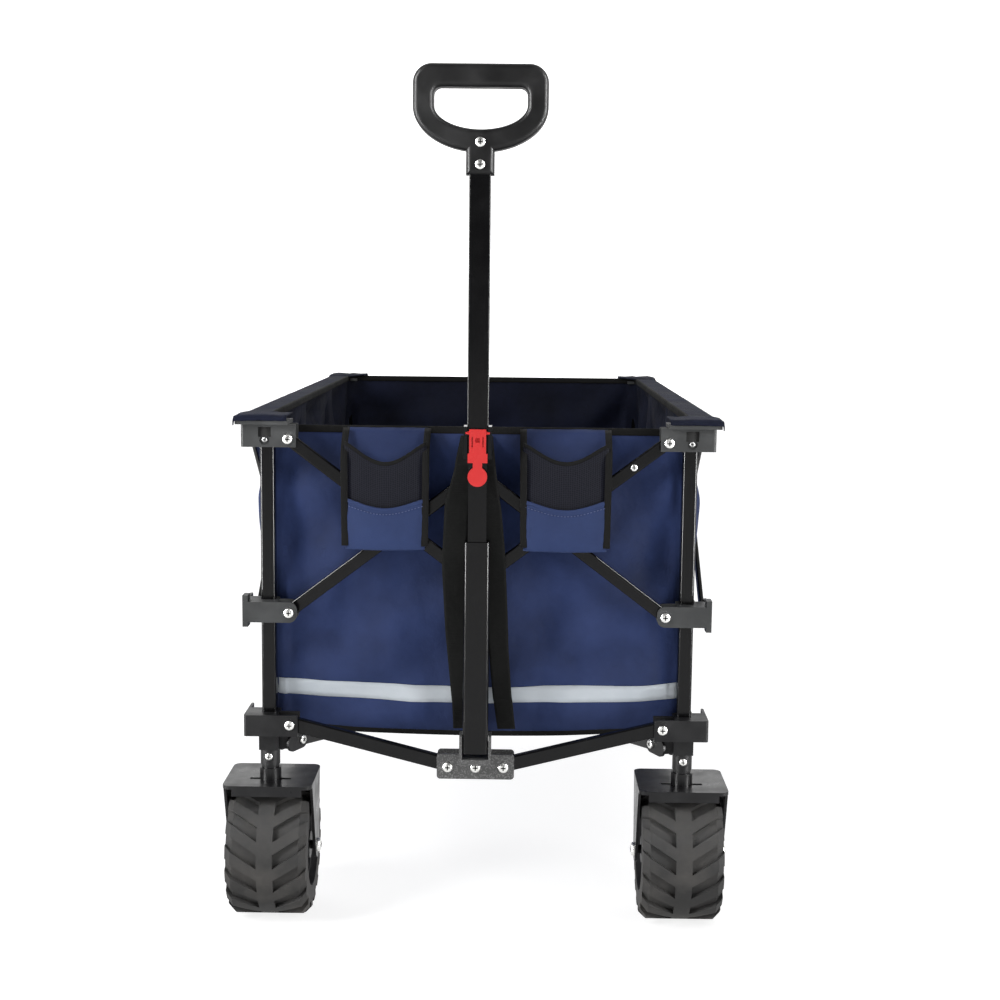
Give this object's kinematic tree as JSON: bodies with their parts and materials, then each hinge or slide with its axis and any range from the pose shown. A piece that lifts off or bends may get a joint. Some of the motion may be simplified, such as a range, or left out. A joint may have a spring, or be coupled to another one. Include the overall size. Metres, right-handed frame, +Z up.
{
  "type": "folding beach cart",
  "caption": "Beach cart with a navy cloth tub in a scissor frame, wide lugged wheels, swivelling front casters and a telescoping pull handle with a D grip.",
  "frame": {"origin": "ground point under the middle of the cart", "axes": "X across, +X to the right seen from the front; Y along, front at -Y; Z up"},
  "size_m": [0.564, 0.974, 0.945],
  "materials": {
    "navy_cloth": "woven polyester cloth, navy",
    "black_tube": "gloss black powder-coated steel tube",
    "grey_casting": "moulded dark grey plastic",
    "black_casting": "moulded near-black plastic",
    "hub_grey": "speckled grey plastic",
    "fork_black": "black painted pressed steel",
    "tyre_rubber": "matt black tyre with lugs",
    "grip_black": "textured black plastic",
    "lever_red": "red plastic"
  },
  "bodies": {
    "frame": {"front_hub": "hub_grey", "centre_hub": "fork_black", "bag_floor": "navy_cloth", "lower_arm_left": "black_tube", "lower_arm_right": "black_tube", "bag_wall_front": "navy_cloth", "bag_wall_rear": "navy_cloth", "bag_wall_left": "navy_cloth", "bag_wall_right": "navy_cloth", "post_front_left": "black_tube", "top_bracket_front_left": "grey_casting", "slide_bracket_front_left": "grey_casting", "low_bracket_front_left": "black_casting", "diagonal_front_left": "black_tube", "end_falling_bar_front_left": "black_tube", "end_rising_bar_front_left": "black_tube", "post_front_right": "black_tube", "top_bracket_front_right": "grey_casting", "slide_bracket_front_right": "grey_casting", "low_bracket_front_right": "black_casting", "diagonal_front_right": "black_tube", "end_falling_bar_front_right": "black_tube", "end_rising_bar_front_right": "black_tube", "post_rear_left": "black_tube", "top_bracket_rear_left": "grey_casting", "slide_bracket_rear_left": "grey_casting", "low_bracket_rear_left": "black_casting", "diagonal_rear_left": "black_tube", "end_falling_bar_rear_left": "black_tube", "end_rising_bar_rear_left": "black_tube", "post_rear_right": "black_tube", "top_bracket_rear_right": "grey_casting", "slide_bracket_rear_right": "grey_casting", "low_bracket_rear_right": "black_casting", "diagonal_rear_right": "black_tube", "end_falling_bar_rear_right": "black_tube", "end_rising_bar_rear_right": "black_tube", "side_left_front_falling_bar": "black_tube", "side_left_front_rising_bar": "black_tube", "side_left_middle_falling_bar": "black_tube", "side_left_middle_rising_bar": "black_tube", "side_left_rear_falling_bar": "black_tube", "side_left_rear_rising_bar": "black_tube", "side_right_front_falling_bar": "black_tube", "side_right_front_rising_bar": "black_tube", "side_right_middle_falling_bar": "black_tube", "side_right_middle_rising_bar": "black_tube", "side_right_rear_falling_bar": "black_tube", "side_right_rear_rising_bar": "black_tube"},
    "caster_left": {"caster_fork_front_left": "fork_black"},
    "caster_right": {"caster_fork_front_right": "fork_black"},
    "handle": {"handle_lower_tube": "black_tube", "handle_middle_tube": "black_tube"},
    "handle_top": {"handle_upper_tube": "black_tube", "grip": "grip_black"},
    "lever": {"release_lever": "lever_red"},
    "wheel_front_left": {"wheel_front_left": "tyre_rubber"},
    "wheel_front_right": {"wheel_front_right": "tyre_rubber"},
    "wheel_rear_left": {"wheel_rear_left": "tyre_rubber"},
    "wheel_rear_right": {"wheel_rear_right": "tyre_rubber"}
  },
  "joints": [
    {"name": "caster_swivel_left", "type": "hinge", "parent": "frame", "child": "caster_left", "pos_m": [-0.232, -0.432, 0.17], "axis": [0, 0, 1], "continuous": true},
    {"name": "caster_swivel_right", "type": "hinge", "parent": "frame", "child": "caster_right", "pos_m": [0.232, -0.432, 0.17], "axis": [0, 0, 1], "continuous": true},
    {"name": "wheel_spin_front_left", "type": "hinge", "parent": "caster_left", "child": "wheel_front_left", "pos_m": [-0.232, -0.41, 0.077], "axis": [1, 0, 0], "continuous": true},
    {"name": "wheel_spin_front_right", "type": "hinge", "parent": "caster_right", "child": "wheel_front_right", "pos_m": [0.232, -0.41, 0.077], "axis": [1, 0, 0], "continuous": true},
    {"name": "wheel_spin_rear_left", "type": "hinge", "parent": "frame", "child": "wheel_rear_left", "pos_m": [-0.232, 0.41, 0.077], "axis": [1, 0, 0], "continuous": true},
    {"name": "wheel_spin_rear_right", "type": "hinge", "parent": "frame", "child": "wheel_rear_right", "pos_m": [0.232, 0.41, 0.077], "axis": [1, 0, 0], "continuous": true},
    {"name": "handle_pitch", "type": "hinge", "parent": "frame", "child": "handle", "pos_m": [0, -0.466, 0.214], "axis": [1, 0, 0], "range_deg": [0, 95]},
    {"name": "handle_slide", "type": "slide", "parent": "handle", "child": "handle_top", "axis": [0, 0, 1], "range_m": [-0.056, 0]},
    {"name": "release_lever_rock", "type": "hinge", "parent": "handle_top", "child": "lever", "pos_m": [0, -0.4795, 0.56], "axis": [-1, 0, 0], "range_deg": [0, 20], "stiffness_Nm_per_rad": 0.05, "springref_deg": -5.73}
  ]
}
